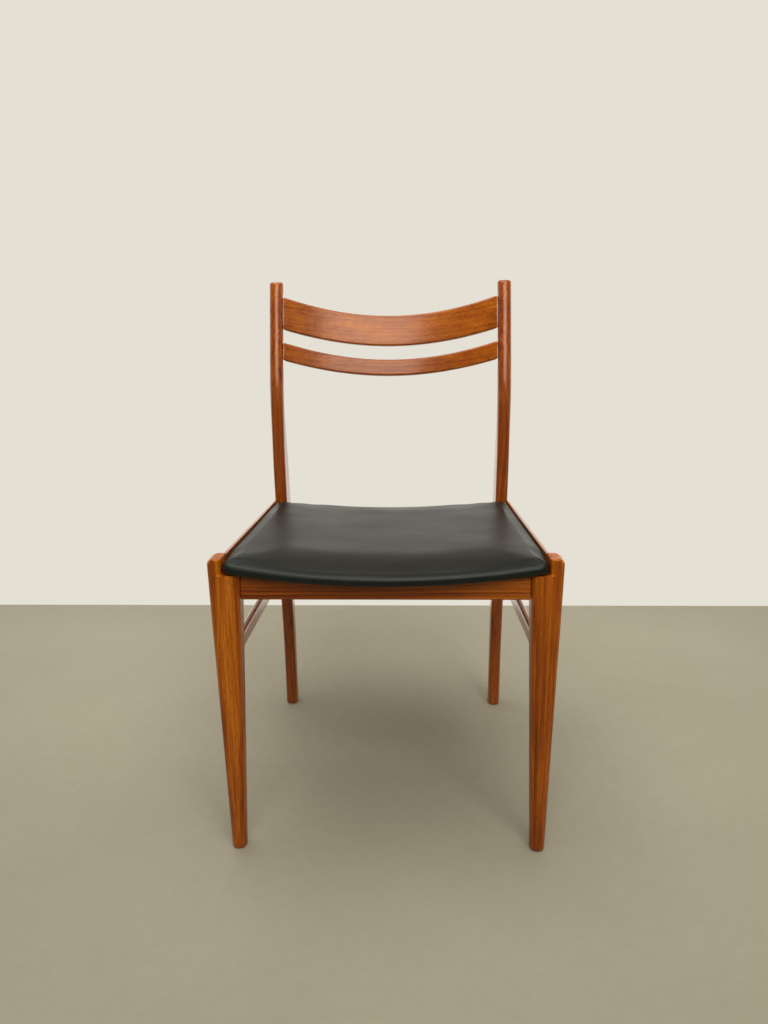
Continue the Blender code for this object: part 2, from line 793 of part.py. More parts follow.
def seat_outline_point(u, v, inset):
    """The point of the seat's rounded outline where (u, v) on the edge of the square -1..1 belongs."""
    y = mix(SEAT_FRONT_Y, seat_rear_y(), (v + 1) / 2)
    for _ in range(3):  # x and y hang on each other, as the seat narrows to the rear
        half = seat_half_width(y) - inset
        x = u * half
        front, rear = seat_edges_y(u, x)
        y = mix(front + inset, rear - inset, (v + 1) / 2)
    radius = SEAT_CORNER - 0.5 * inset
    edge_y, away = (front + inset, 1) if v < 0 else (rear - inset, -1)
    dx, dy = half - abs(x), (y - edge_y) * away
    if dx < radius and dy < radius:
        centre = Vector((half - radius, edge_y + away * radius))
        towards = Vector((abs(x), y)) - centre
        towards = towards.normalized() * radius
        x, y = math.copysign(centre.x + towards.x, x), centre.y + towards.y
    return x, y


def seat_centre_y():
    return (SEAT_FRONT_Y - SEAT_FRONT_BOW + seat_rear_y()) / 2


def seat_place(u, v, inset):
    """(x, y, how far from the centre) for (u, v) in the square -1..1: rings of the outline's shape."""
    reach = max(abs(u), abs(v))
    if reach < 1e-9:
        return 0.0, seat_centre_y(), 0.0
    x, y = seat_outline_point(u / reach, v / reach, inset)
    return x * reach, mix(seat_centre_y(), y, reach), reach


def seat_top(x, y, reach, inset):
    """The padded surface: the dish, a soft crown and a rolled edge."""
    surface = seat_under(x, y) + SEAT_EDGE_THICKNESS + SEAT_CROWN * smooth((1 - reach) / 0.35)
    from_edge = (1 - reach) * seat_half_width(y) + inset
    return surface - rounding(SEAT_ROLL, from_edge)


def key(vertex):
    return round(vertex.co.x, 6), round(vertex.co.y, 6)


def seat_grid(inset):
    """A flat grid over the seat, its lines close together at the edge, and each vertex's u, v and reach."""
    made = bmesh.new()
    bmesh.ops.create_grid(made, x_segments=SEAT_STEPS, y_segments=SEAT_STEPS, size=1.0)
    spread = {}
    for vertex in made.verts:
        u = math.sin(clamp(vertex.co.x, -1, 1) * math.pi / 2)
        v = math.sin(clamp(vertex.co.y, -1, 1) * math.pi / 2)
        x, y, reach = seat_place(u, v, inset)
        vertex.co = (x, y, 0)
        spread[key(vertex)] = (u, v, reach)
    return made, spread


def extruded(made):
    """Closes the grid into a slab. Returns the lower and the upper vertices, by each other."""
    lower = list(made.verts)
    made_up = bmesh.ops.extrude_face_region(made, geom=list(made.faces), use_keep_orig=True)
    upper = [item for item in made_up["geom"] if isinstance(item, bmesh.types.BMVert)]
    return lower, upper


def seat_slab(name, inset, low, high, look):
    """A slab over the seat's outline between two heights, given as functions of (x, y, reach)."""
    made, spread = seat_grid(inset)
    lower, upper = extruded(made)
    for group, height in ((lower, low), (upper, high)):
        for vertex in group:
            vertex.co.z = height(vertex.co.x, vertex.co.y, spread[key(vertex)][2])
    return place(name, made, look)


def make_seat_board():
    start = COVER_THICKNESS + LAYER_GAP
    return seat_slab(
        "seat_board",
        BOARD_INSET,
        lambda x, y, reach: seat_under(x, y) + start,
        lambda x, y, reach: seat_under(x, y) + start + BOARD_THICKNESS,
        plywood(),
    )


def make_seat_foam():
    start = COVER_THICKNESS + BOARD_THICKNESS + 2 * LAYER_GAP
    return seat_slab(
        "seat_foam",
        FOAM_INSET,
        lambda x, y, reach: seat_under(x, y) + start,
        lambda x, y, reach: seat_top(x, y, reach, FOAM_INSET) - COVER_THICKNESS - LAYER_GAP,
        foam(),
    )


def make_seat_cover():
    """One skin over the foam, down the sides and turned in under the board."""
    made, spread = seat_grid(0.0)
    for vertex in made.verts:
        vertex.co.z = seat_top(vertex.co.x, vertex.co.y, spread[key(vertex)][2], 0.0)
    for drop, inset in COVER_RIM + ((1.0, COVER_TUCK),):
        rim = [edge for edge in made.edges if edge.is_boundary]
        grown = bmesh.ops.extrude_edge_only(made, edges=rim)["geom"]
        moved = {}
        for vertex in (item for item in grown if isinstance(item, bmesh.types.BMVert)):
            u, v, reach = spread[key(vertex)]
            x, y = seat_outline_point(u / reach, v / reach, inset)
            vertex.co = (x, y, mix(vertex.co.z, seat_under(x, y), drop))
            moved[key(vertex)] = (u, v, reach)
        spread = moved
    cover = place("seat_cover", made, leatherette())
    skin = cover.modifiers.new("skin", "SOLIDIFY")
    skin.thickness = COVER_THICKNESS
    skin.offset = -1.0
    skin.use_even_offset = True
    return cover


# ---------------------------------------------------------------- the whole chair
def centre_on_origin():
    """Moves everything so that the chair's box is centred on the origin and stands on z = 0."""
    bpy.context.view_layer.update()
    graph = bpy.context.evaluated_depsgraph_get()
    corners = []
    for obj in parts.objects:
        corners += [obj.matrix_world @ Vector(corner) for corner in obj.evaluated_get(graph).bound_box]
    middle = (min(c.y for c in corners) + max(c.y for c in corners)) / 2
    for obj in list(parts.objects) + list(cutters.objects):
        obj.location.y -= middle


def main():
    global parts, cutters
    clear_scene()
    parts = new_collection("dining_chair", False)
    cutters = new_collection("cutters", True)
    legs = {label: make_front_leg(label, side) for label, side in SIDES}
    posts = {label: make_rear_post(label, side) for label, side in SIDES}
    rails = {label: make_side_rail(label, side) for label, side in SIDES}
    rails["front"] = make_front_rail()
    rails["rear"] = make_rear_rail()
    for label, side in SIDES:
        make_stretcher(label, side)
        cut_stretcher_mortises(legs[label], posts[label], label, side)
    make_slat("top_slat", TOP_SLAT_Z, TOP_SLAT_HEIGHT, posts)
    make_slat("lower_slat", LOWER_SLAT_Z, LOWER_SLAT_HEIGHT, posts)
    make_dowels(legs, posts, rails)
    board = make_seat_board()
    make_seat_foam()
    make_seat_cover()
    make_blocks_and_screws(board)
    centre_on_origin()


main()
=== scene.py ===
"""The looks of the dining chair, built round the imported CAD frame.

Metres, +Z up, the chair faces -Y. The legs, posts, slats and stretchers are rebuilt as smooth meshes
through sections of their CAD nodes, and the padded seat is built on its CAD outline and puffed out as
cloth. The rails, dowels, blocks, screws and seat board keep their CAD shapes.
"""

import math

import bmesh
import bpy
import numpy as np
from mathutils import Matrix, Vector, noise


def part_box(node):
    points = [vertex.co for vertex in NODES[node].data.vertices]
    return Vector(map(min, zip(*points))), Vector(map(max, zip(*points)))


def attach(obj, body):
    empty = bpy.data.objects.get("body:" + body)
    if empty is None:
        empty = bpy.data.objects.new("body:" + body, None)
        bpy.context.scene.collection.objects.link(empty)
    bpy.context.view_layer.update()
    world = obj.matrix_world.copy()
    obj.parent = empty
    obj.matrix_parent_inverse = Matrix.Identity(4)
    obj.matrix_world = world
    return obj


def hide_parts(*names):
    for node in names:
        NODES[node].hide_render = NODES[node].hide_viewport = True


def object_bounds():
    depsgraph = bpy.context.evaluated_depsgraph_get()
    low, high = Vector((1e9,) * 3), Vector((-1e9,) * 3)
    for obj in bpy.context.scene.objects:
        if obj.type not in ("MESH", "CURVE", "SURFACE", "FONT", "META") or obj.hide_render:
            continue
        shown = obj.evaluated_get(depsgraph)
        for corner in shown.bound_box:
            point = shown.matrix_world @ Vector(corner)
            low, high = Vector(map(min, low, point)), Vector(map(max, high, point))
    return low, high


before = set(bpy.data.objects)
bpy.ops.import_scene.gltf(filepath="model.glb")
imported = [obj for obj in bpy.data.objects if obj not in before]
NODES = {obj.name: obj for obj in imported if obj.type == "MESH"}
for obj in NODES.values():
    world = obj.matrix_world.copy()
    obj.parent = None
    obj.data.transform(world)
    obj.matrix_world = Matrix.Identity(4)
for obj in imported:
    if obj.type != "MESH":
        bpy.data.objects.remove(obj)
CAD_LOW, CAD_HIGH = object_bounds()
SIDES = (("left", -1), ("right", 1))
ARC_STEPS = 7  # of each rounded corner in a ring


# ---------------------------------------------------------------- reading the CAD solids
def triangles(node):
    """The corners of the node's triangles, as an array of shape (count, 3, 3)."""
    mesh = NODES[node].data
    mesh.calc_loop_triangles()
    points = np.array([v.co for v in mesh.vertices], float)
    return points[np.array([t.vertices for t in mesh.loop_triangles])]


def section(corners, axis, at):
    """Where the plane axis = at cuts the triangles, as an array of points."""
    at += 1.7e-6  # off the planes that hold vertices
    found = []
    for a, b in ((0, 1), (1, 2), (2, 0)):
        p, q = corners[:, a], corners[:, b]
        low, high = p[:, axis] - at, q[:, axis] - at
        crossing = low * high < 0
        share = (low / (low - high + 1e-30))[crossing, None]
        found.append(p[crossing] + (q - p)[crossing] * share)
    return np.concatenate(found)


def spline(keys, values, at):
    """A smooth curve through (key, value) pairs, read at each of at."""
    keys, values = np.asarray(keys, float), np.asarray(values, float)
    slopes = np.gradient(values, keys, axis=0)
    made = []
    for x in at:
        i = int(np.clip(np.searchsorted(keys, x) - 1, 0, len(keys) - 2))
        width = keys[i + 1] - keys[i]
        t = min(1.0, max(0.0, (x - keys[i]) / width))
        made.append(
            (2 * t**3 - 3 * t**2 + 1) * values[i]
            + (t**3 - 2 * t**2 + t) * width * slopes[i]
            + (3 * t**2 - 2 * t**3) * values[i + 1]
            + (t**3 - t**2) * width * slopes[i + 1]
        )
    return np.array(made)


# ---------------------------------------------------------------- mesh helpers
def mix(a, b, share):
    return a + (b - a) * share


def clamp(value, low=0.0, high=1.0):
    return max(low, min(high, value))


def smooth(share):
    share = clamp(share)
    return share * share * (3 - 2 * share)


def rounding(radius, distance):
    """How far a rounded edge draws the surface in, at a distance from the end face."""
    if distance >= radius:
        return 0.0
    return radius - math.sqrt(radius * radius - (radius - distance) ** 2)


LEAST_FLAT = 2e-4  # what the corner arcs leave of half a side
FLAT_SHARES = (0.12, 0.88)  # of a flat side, where its extra points lie
CAP_SHARE = 0.12  # how far an end cap's ring is drawn in towards its centre


def rounded_ring(x0, x1, y0, y1, radii):
    """(x, y) round a rectangle, with extra points beside each arc so that flat sides shade flat."""
    most = min(x1 - x0, y1 - y0) / 2 - LEAST_FLAT
    corners = ((x1, y0, 1, -1), (x1, y1, 1, 1), (x0, y1, -1, 1), (x0, y0, -1, -1))
    arcs = []
    for number, (x, y, sx, sy) in enumerate(corners):
        radius = min(radii[number], most)
        start = -math.pi / 2 + number * math.pi / 2
        arcs.append(
            [
                (
                    x - sx * radius + radius * math.cos(start + step * math.pi / 2 / ARC_STEPS),
                    y - sy * radius + radius * math.sin(start + step * math.pi / 2 / ARC_STEPS),
                )
                for step in range(ARC_STEPS + 1)
            ]
        )
    ring = []
    for number, arc in enumerate(arcs):
        ring += arc
        end, start = arc[-1], arcs[(number + 1) % 4][0]
        ring += [(mix(end[0], start[0], s), mix(end[1], start[1], s)) for s in FLAT_SHARES]
    return ring


def lofted(name, rings):
    """A closed mesh through rings of equal length, each end capped by a smaller ring and one face."""
    made = bmesh.new()
    caps = []
    for ring in (rings[0], rings[-1]):
        centre = sum((Vector(p) for p in ring), Vector()) / len(ring)
        caps.append([mix(Vector(p), centre, CAP_SHARE) for p in ring])
    rows = [[made.verts.new(p) for p in ring] for ring in (caps[0], *rings, caps[1])]
    count = len(rows[0])
    for low, high in zip(rows, rows[1:]):
        for i in range(count):
            j = (i + 1) % count
            made.faces.new((low[i], low[j], high[j], high[i]))
    made.faces.new(list(reversed(rows[0])))
    made.faces.new(rows[-1])
    return finished(name, made)


def finished(name, made, shade=True):
    """The bmesh as an object in the scene, its faces turned out."""
    made.normal_update()
    bmesh.ops.recalc_face_normals(made, faces=made.faces)
    mesh = bpy.data.meshes.new(name)
    made.to_mesh(mesh)
    made.free()
    for face in mesh.polygons:
        face.use_smooth = shade
    obj = bpy.data.objects.new(name, mesh)
    bpy.context.scene.collection.objects.link(obj)
    return obj


def adopt(obj, look, slot, *nodes):
    """The piece gets its material, rides on the chair and stands for its CAD nodes."""
    obj.data.materials.append(look)
    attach(obj, "root")
    if nodes:
        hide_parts(*nodes)
    return obj


# ---------------------------------------------------------------- node helpers
class Tree:
    """Short ways to add nodes to a material."""

    def __init__(self, name):
        self.material = bpy.data.materials.new(name)
        self.material.use_nodes = True
        self.nodes = self.material.node_tree.nodes
        self.shader = self.nodes["Principled BSDF"]

    def link(self, source, target):
        self.material.node_tree.links.new(source, target)

    def add(self, kind, **settings):
        node = self.nodes.new(kind)
        for key, value in settings.items():
            setattr(node, key, value)
        return node

    def set(self, node, **values):
        for key, value in values.items():
            self.feed(node.inputs[key], value)

    def coordinates(self, turn=(0, 0, 0), shift=(0, 0, 0), scale=(1, 1, 1)):
        place = self.add("ShaderNodeTexCoord")
        return self.mapped(place.outputs["Object"], turn, shift, scale)

    def mapped(self, vector, turn=(0, 0, 0), shift=(0, 0, 0), scale=(1, 1, 1)):
        node = self.add("ShaderNodeMapping")
        self.link(vector, node.inputs["Vector"])
        node.inputs["Rotation"].default_value = turn
        node.inputs["Location"].default_value = shift
        node.inputs["Scale"].default_value = scale
        return node.outputs["Vector"]

    def noise(self, vector, scale=1.0, detail=2.0, roughness=0.5):
        node = self.add("ShaderNodeTexNoise")
        self.set(node, Vector=vector, Scale=scale, Detail=detail, Roughness=roughness)
        return node.outputs["Fac"]

    def feed(self, socket, value):
        """Links the value if it is another node's output, or else sets it."""
        if isinstance(value, bpy.types.NodeSocket):
            self.link(value, socket)
        else:
            socket.default_value = value

    def maths(self, operation, a, b, c=0.0):
        node = self.add("ShaderNodeMath", operation=operation)
        for socket, value in zip(node.inputs, (a, b, c)):
            self.feed(socket, value)
        return node.outputs[0]

    def ramp(self, factor, stops):
        node = self.add("ShaderNodeValToRGB")
        while len(node.color_ramp.elements) < len(stops):
            node.color_ramp.elements.new(0.5)
        for element, (at, colour) in zip(node.color_ramp.elements, stops):
            element.position = at
            element.color = (*colour, 1)
        self.link(factor, node.inputs["Fac"])
        return node.outputs["Color"]

    def tinted(self, factor, colour, tint):
        """The colour multiplied by the tint, as much as factor says."""
        node = self.add("ShaderNodeMix", data_type="RGBA", blend_type="MULTIPLY")
        for number, value in ((0, factor), (6, colour), (7, (*tint, 1))):
            self.feed(node.inputs[number], value)
        return node.outputs[2]

    def between(self, value, low, high, to_low, to_high):
        node = self.add("ShaderNodeMapRange")
        self.link(value, node.inputs["Value"])
        for key, number in (("From Min", low), ("From Max", high), ("To Min", to_low), ("To Max", to_high)):
            node.inputs[key].default_value = number
        return node.outputs["Result"]

    def bump(self, height, strength, distance, under=None):
        node = self.add("ShaderNodeBump")
        self.set(node, Height=height, Strength=strength, Distance=distance)
        if under:
            self.link(under, node.inputs["Normal"])
        return node.outputs["Normal"]


# ---------------------------------------------------------------- materials
# how the log is turned for grain along each axis
TURNS = {"Z": (0, 0, 0), "X": (0, math.radians(-90), 0), "Y": (math.radians(90), 0, 0)}
# (position, colour) of each stop, dark to light
TEAK = (
    (0.05, (0.085, 0.0120, 0.0007)),
    (0.33, (0.225, 0.0430, 0.0014)),
    (0.60, (0.375, 0.0920, 0.0032)),
    (0.92, (0.570, 0.1900, 0.0130)),
)
BEECH = ((0.2, (0.40, 0.25, 0.12)), (0.8, (0.64, 0.46, 0.28)))
# darker, redder teak for the rear posts; part of its darkness is painted shade
DARK_SHADED_TEAK = (
    (0.05, (0.068, 0.0085, 0.0006)),
    (0.33, (0.190, 0.0300, 0.0012)),
    (0.60, (0.330, 0.0720, 0.0030)),
    (0.92, (0.510, 0.1600, 0.0120)),
)


def wood(name, grain, shift, stops, gloss=0.36, coat=0.32, pores=0.6, figure=0.19):
    """Solid wood cut from a log whose axis runs along grain, so that end grain comes out right too."""
    tree = Tree(name)
    place = tree.coordinates(TURNS[grain], shift)
    # growth rings round the log's axis, a little warped along it
    warp = tree.noise(tree.mapped(place, scale=(7, 7, 1.6)), detail=3)
    pulled = tree.add("ShaderNodeVectorMath", operation="MULTIPLY_ADD")
    tree.link(warp, pulled.inputs[0])
    pulled.inputs[1].default_value = (0.030, 0.022, 0)
    tree.link(place, pulled.inputs[2])
    flat = tree.add("ShaderNodeVectorMath", operation="MULTIPLY")
    tree.link(pulled.outputs[0], flat.inputs[0])
    flat.inputs[1].default_value = (1, 1, 0)
    length = tree.add("ShaderNodeVectorMath", operation="LENGTH")
    tree.link(flat.outputs[0], length.inputs[0])
    rings = tree.add("ShaderNodeTexNoise", noise_dimensions="1D")
    tree.set(rings, W=length.outputs["Value"], Scale=240.0, Detail=3.0, Roughness=0.62)
    # fibres, short dark pores and the slow change of tone
    fibres = tree.noise(tree.mapped(place, scale=(420, 420, 6.5)), detail=5, roughness=0.62)
    flecks = tree.noise(tree.mapped(place, scale=(640, 640, 80)), detail=3)
    streaks = tree.noise(tree.mapped(place, scale=(75, 75, 2.4)), detail=3, roughness=0.55)
    tone = tree.noise(tree.mapped(place, scale=(9, 9, 2.0)), detail=2)
    mixed = tree.maths("MULTIPLY", rings.outputs["Fac"], 0.26)
    for part, share in ((fibres, 0.38), (streaks, 0.40), (tone, 0.26)):
        mixed = tree.maths("MULTIPLY_ADD", part, share, mixed)
    middle = 0.67  # about the mean of mixed
    factor = tree.between(mixed, middle - figure, middle + figure, 0.0, 1.0)
    colour = tree.ramp(factor, stops)
    pore = tree.between(flecks, 0.56, 0.70, 0.0, pores)
    colour = tree.tinted(pore, colour, (0.42, 0.28, 0.22))
    tree.link(colour, tree.shader.inputs["Base Color"])
    tree.link(tree.between(fibres, 0.3, 0.7, gloss + 0.07, gloss - 0.05), tree.shader.inputs["Roughness"])
    height = tree.maths("MULTIPLY_ADD", pore, -1.0, tree.maths("MULTIPLY", fibres, 0.6))
    tree.link(tree.bump(height, 0.35, 0.00025), tree.shader.inputs["Normal"])
    tree.shader.inputs["Specular IOR Level"].default_value = 0.45
    tree.shader.inputs["Specular Tint"].default_value = (1.0, 0.52, 0.28, 1)
    tree.shader.inputs["Coat Weight"].default_value = coat
    tree.shader.inputs["Coat Roughness"].default_value = 0.22
    return tree.material


def plywood():
    tree = Tree("plywood")
    place = tree.coordinates(TURNS["Y"], (0.3, 0.1, 0))
    fibres = tree.noise(tree.mapped(place, scale=(260, 260, 7)), detail=4, roughness=0.6)
    bands = tree.noise(tree.mapped(place, scale=(28, 28, 1.5)), detail=3)
    factor = tree.maths("MULTIPLY_ADD", fibres, 0.5, tree.maths("MULTIPLY", bands, 0.5))
    colour = tree.ramp(factor, ((0.3, (0.33, 0.20, 0.10)), (0.7, (0.56, 0.39, 0.23))))
    tree.link(colour, tree.shader.inputs["Base Color"])
    tree.shader.inputs["Roughness"].default_value = 0.72
    tree.link(tree.bump(fibres, 0.3, 0.0003), tree.shader.inputs["Normal"])
    return tree.material


def leatherette():
    """Black vinyl with a fine pebbled grain, unevenly glossy."""
    tree = Tree("leatherette")
    place = tree.coordinates()
    pebbles = tree.add("ShaderNodeTexVoronoi", feature="SMOOTH_F1")
    tree.set(pebbles, Vector=place, Scale=950.0, Smoothness=0.6)
    creases = tree.noise(place, 420.0, 4, 0.6)
    cloud = tree.noise(place, 9.0, 3, 0.55)
    fine = tree.noise(place, 60.0, 3, 0.6)
    colour = tree.ramp(
        tree.maths("MULTIPLY_ADD", fine, 0.35, tree.maths("MULTIPLY", cloud, 0.65)),
        ((0.30, (0.0034, 0.0044, 0.0036)), (0.70, (0.0080, 0.0094, 0.0078))),
    )
    tree.link(colour, tree.shader.inputs["Base Color"])
    tree.link(tree.between(cloud, 0.3, 0.7, 0.36, 0.44), tree.shader.inputs["Roughness"])
    grain = tree.maths("MULTIPLY_ADD", creases, 0.7, pebbles.outputs["Distance"])
    under = tree.bump(cloud, 0.25, 0.003)
    tree.link(tree.bump(grain, 0.30, 0.00012, under), tree.shader.inputs["Normal"])
    tree.shader.inputs["Specular IOR Level"].default_value = 0.26
    tree.shader.inputs["Specular Tint"].default_value = (0.93, 1.0, 0.94, 1)
    return tree.material


def steel():
    tree = Tree("steel")
    scratches = tree.noise(tree.coordinates(scale=(1, 1, 0.2)), 900.0, 3)
    colour = tree.ramp(scratches, ((0.3, (0.36, 0.35, 0.33)), (0.7, (0.60, 0.59, 0.57))))
    tree.link(colour, tree.shader.inputs["Base Color"])
    tree.link(tree.between(scratches, 0.3, 0.7, 0.30, 0.46), tree.shader.inputs["Roughness"])
    tree.shader.inputs["Metallic"].default_value = 1.0
    return tree.material


def floor_material():
    """Pale concrete, with painted shade that darkens it towards the front of the room."""
    tree = Tree("floor")
    place = tree.coordinates()
    clouds = tree.noise(place, 1.6, 5, 0.6)
    specks = tree.noise(place, 60.0, 3, 0.6)
    factor = tree.maths("MULTIPLY_ADD", specks, 0.3, tree.maths("MULTIPLY", clouds, 0.7))
    colour = tree.ramp(factor, ((0.3, (0.37, 0.335, 0.24)), (0.7, (0.44, 0.405, 0.30))))
    depth = tree.add("ShaderNodeSeparateXYZ")
    tree.link(place, depth.inputs[0])
    # painted shade: the floor's colour is darkened more the nearer it lies to the front
    near = tree.between(depth.outputs["Y"], -0.75, 0.55, 0.85, 0.0)
    tree.link(tree.tinted(near, colour, (0.50, 0.52, 0.50)), tree.shader.inputs["Base Color"])
    tree.shader.inputs["Roughness"].default_value = 0.55
    return tree.material


def teak(name, grain, shift, figure=0.19, coat=0.32, stops=TEAK):
    return wood(name, grain, shift, stops, coat=coat, figure=figure)


# ---------------------------------------------------------------- upright members
FOOT_EDGE = 0.0030
FOOT_LEVELS = [0.0, 0.0004, 0.0012, FOOT_EDGE]
BODY_START = 0.010  # above the foot, from here the rings are evenly spaced
READ_FOOT, READ_TOP = 0.004, 0.012  # how near a member's ends its sections are read
POST_EDGE = 0.0045
POST_TOP_SHARES = (1.0, 0.72, 0.45, 0.22, 0.07, 0.0)  # of POST_EDGE, down from the top
POST_RADIUS, POST_FOOT_RADIUS, POST_TOP_RADIUS = 0.0042, 0.0080, 0.0118
POST_LEAN = 0.2605  # back for each metre up, near the top


def extents(corners, z):
    points = section(corners, 2, z)
    return [points[:, 0].min(), points[:, 0].max(), points[:, 1].min(), points[:, 1].max()]


def upright(node, levels):
    """The member's plan extents at each level, smoothed through a few read from the CAD solid."""
    corners = triangles(node)
    low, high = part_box(node)
    keys = np.linspace(low.z + READ_FOOT, high.z - READ_TOP, 30)
    return spline(keys, [extents(corners, z) for z in keys], levels)


def post_radius(z, horn_top):
    """Square below the seat, with rounder corners at the foot, and round at the top."""
    foot = smooth(1 - z / (0.7 * horn_top))
    top = smooth((z - 1.1 * horn_top) / (0.31 * horn_top))
    return max(mix(POST_RADIUS, POST_FOOT_RADIUS, foot), mix(POST_RADIUS, POST_TOP_RADIUS, top))


def build_post(label):
    node = f"rear_post_{label}"
    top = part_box(node)[1].z
    horn_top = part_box("front_leg_left")[1].z
    levels = FOOT_LEVELS + list(np.linspace(BODY_START, top - POST_EDGE - 0.004, 90))
    levels += [top - POST_EDGE * share for share in POST_TOP_SHARES]
    rings = []
    for z, (x0, x1, y0, y1) in zip(levels, upright(node, levels)):
        lean = max(0.0, z - (top - READ_TOP)) * POST_LEAN  # beyond the last section that was read
        edge = rounding(POST_EDGE, top - z) + rounding(FOOT_EDGE, z)
        radii = (post_radius(z, horn_top),) * 4
        ring = rounded_ring(x0 + edge, x1 - edge, y0 + lean + edge, y1 + lean - edge, radii)
        rings.append([(x, y, z) for x, y in ring])
    shift = (0.061, 0.043, 0.2) if label == "left" else (-0.052, 0.071, 1.3)
    # the posts' darker stops hold some painted shade
    look = teak(f"teak_post_{label}", "Z", shift, 0.26, 0.6, DARK_SHADED_TEAK)
    return adopt(lofted(f"{node}_smooth", rings), look, "teak", node)


LEG_FOOT_RADIUS = 0.0098
LEG_TOP_RADII = (0.0080, 0.0070, 0.0035, 0.0075)  # outer front, outer back, inner back, inner front
LEG_READ, NOTCH_READ = 0.020, 0.004  # above the foot and below the notch, where the taper is read
HORN_CORNER, HORN_EDGE = 0.0085, 0.0022
HORN_SHARES = (1.0, 0.84, 0.68, 0.53, 0.40, 0.28, 0.18, 0.10, 0.04, 0.0)  # of HORN_CORNER, from the top
NOTCH_RINGS = ((0.0012, 0.0), (0.0004, 0.0003), (0.0, 0.0012))  # (below the ledge, drawn in by)
HORN_RINGS = ((0.0002, 0.0020), (0.0008, 0.0005))  # (above the ledge, inward of the horn's wall)


def build_leg(label, side):
    """The tapered front leg. Above the seat's notch only its outer part runs on, as the horn."""
    node = f"front_leg_{label}"
    corners = triangles(node)
    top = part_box(node)[1].z
    floor = notch_floor(corners, side, top)
    taper = np.array([extents(corners, z) for z in (LEG_READ, floor - NOTCH_READ)])
    slope = (taper[1] - taper[0]) / (floor - NOTCH_READ - LEG_READ)

    def plan(z):
        x0, x1, y0, y1 = taper[0] + slope * (z - LEG_READ)
        return (x0, x1, y0, y1) if side > 0 else (-x1, -x0, y0, y1)

    horn = extents(corners, top - READ_TOP)
    wall = horn[0] if side > 0 else -horn[1]
    rings = []

    def ring(z, inner, edge_out, edge_in, edge):
        """One ring, laid out as on the right leg. inner is where the horn's inner wall stands, if it does."""
        x0, x1, y0, y1 = plan(z)
        radii = [mix(LEG_FOOT_RADIUS, radius, z / top) for radius in LEG_TOP_RADII]
        start = x0 if inner is None else inner
        points = rounded_ring(start + edge_in, x1 - edge_out, y0 + edge, y1 - edge, radii)
        rings.append([(side * x, y, z) for x, y in points])

    for z in FOOT_LEVELS + list(np.linspace(BODY_START, floor - 0.0025, 60)):
        edge = rounding(FOOT_EDGE, z)
        ring(z, None, edge, edge, edge)
    for drop, inset in NOTCH_RINGS:
        ring(floor - drop, None, 0.0, inset, 0.0)
    for rise, inward in HORN_RINGS:
        ring(floor + rise, wall - inward, 0.0, 0.0, 0.0)
    for z in np.linspace(floor + 0.002, top - HORN_CORNER - 0.0005, 6):
        ring(z, wall, 0.0, 0.0, 0.0)
    for share in HORN_SHARES:
        z = top - HORN_CORNER * share
        edge = rounding(HORN_EDGE, top - z)
        ring(z, wall, max(edge, rounding(HORN_CORNER, top - z)), edge, edge)
    shift = (0.068, 0.020, 0.7) if label == "left" else (-0.083, 0.034, 2.1)
    look = teak(f"teak_leg_{label}", "Z", shift, 0.18, 0.15)
    return adopt(lofted(f"{node}_smooth", rings), look, "teak", node)


def notch_floor(corners, side, top):
    """Height of the ledge that the seat lies on: where the leg's section suddenly narrows."""
    inner = []
    step = 0.0005
    heights = np.arange(top - 0.045, top - READ_TOP, step)
    for z in heights:
        x0, x1, _, _ = extents(corners, z)
        inner.append(x0 if side > 0 else -x1)
    jump = int(np.argmax(np.diff(inner)))
    return float(heights[jump]) + step / 2


# ---------------------------------------------------------------- back slats
POST_READS = (0.03, 0.10, 0.13)  # below the posts' tops, where their lean and spacing are read
SLAT_GAP = 0.0002  # to each post
SLAT_RADII = (0.0034, 0.0034, 0.0038, 0.0030)
SLAT_END_EDGE = 0.0012  # rounding of the ends in plan
SLAT_SHOULDER, SHOULDER_SHARE = 0.0060, 0.28  # softer rounding of the ends in height
SLAT_END_STEPS = (0.0, 0.0003, 0.0010, 0.0022, 0.0040, 0.0065)


def build_slat(name, shift):
    """A bowed slat with rounded edges. Its section is read across the CAD slat, leaning with the back."""
    corners = triangles(name)
    post = triangles("rear_post_right")
    high, beside, low = (extents(post, CAD_HIGH.z - drop) for drop in POST_READS)
    lean = math.atan2((high[2] + high[3] - low[2] - low[3]) / 2, POST_READS[2] - POST_READS[0])
    up = Vector((0, math.sin(lean), math.cos(lean)))
    back = Vector((0, math.cos(lean), -math.sin(lean)))
    half = beside[0] - SLAT_GAP
    keys = np.linspace(-half + 0.003, half - 0.003, 31)
    read = []
    for x in keys:
        points = section(corners, 0, x)
        heights, depths = points @ np.array(up), points @ np.array(back)
        read.append([heights.min(), heights.max(), depths.min(), depths.max()])
    read = np.array(read)
    fit = [np.polynomial.Polynomial.fit(keys, read[:, i], 4) for i in range(4)]
    xs = [-half + step for step in SLAT_END_STEPS]
    middle = list(np.linspace(-half + 0.010, half - 0.010, 70))
    xs = xs + middle + [-x for x in reversed(xs)]
    rings = []
    for x in xs:
        end = half - abs(x)
        z0, z1, y0, y1 = (float(f(x)) for f in fit)
        edge, shoulder = rounding(SLAT_END_EDGE, end), rounding(SLAT_SHOULDER, end) * SHOULDER_SHARE
        ring = rounded_ring(y0 + edge, y1 - edge, z0 + shoulder, z1 - shoulder, SLAT_RADII)
        rings.append([Vector((x, 0, 0)) + back * y + up * z for y, z in ring])
    look = teak(f"teak_{name}", "X", shift, 0.32, 0.5)
    return adopt(lofted(f"{name}_smooth", rings), look, "teak", name)


# ---------------------------------------------------------------- stretchers
STRETCHER_GAP = 0.0003  # to the leg and the post
STRETCHER_RADIUS = 0.0040
STRETCHER_READ = 0.02  # from the ends, where the first and last sections are read


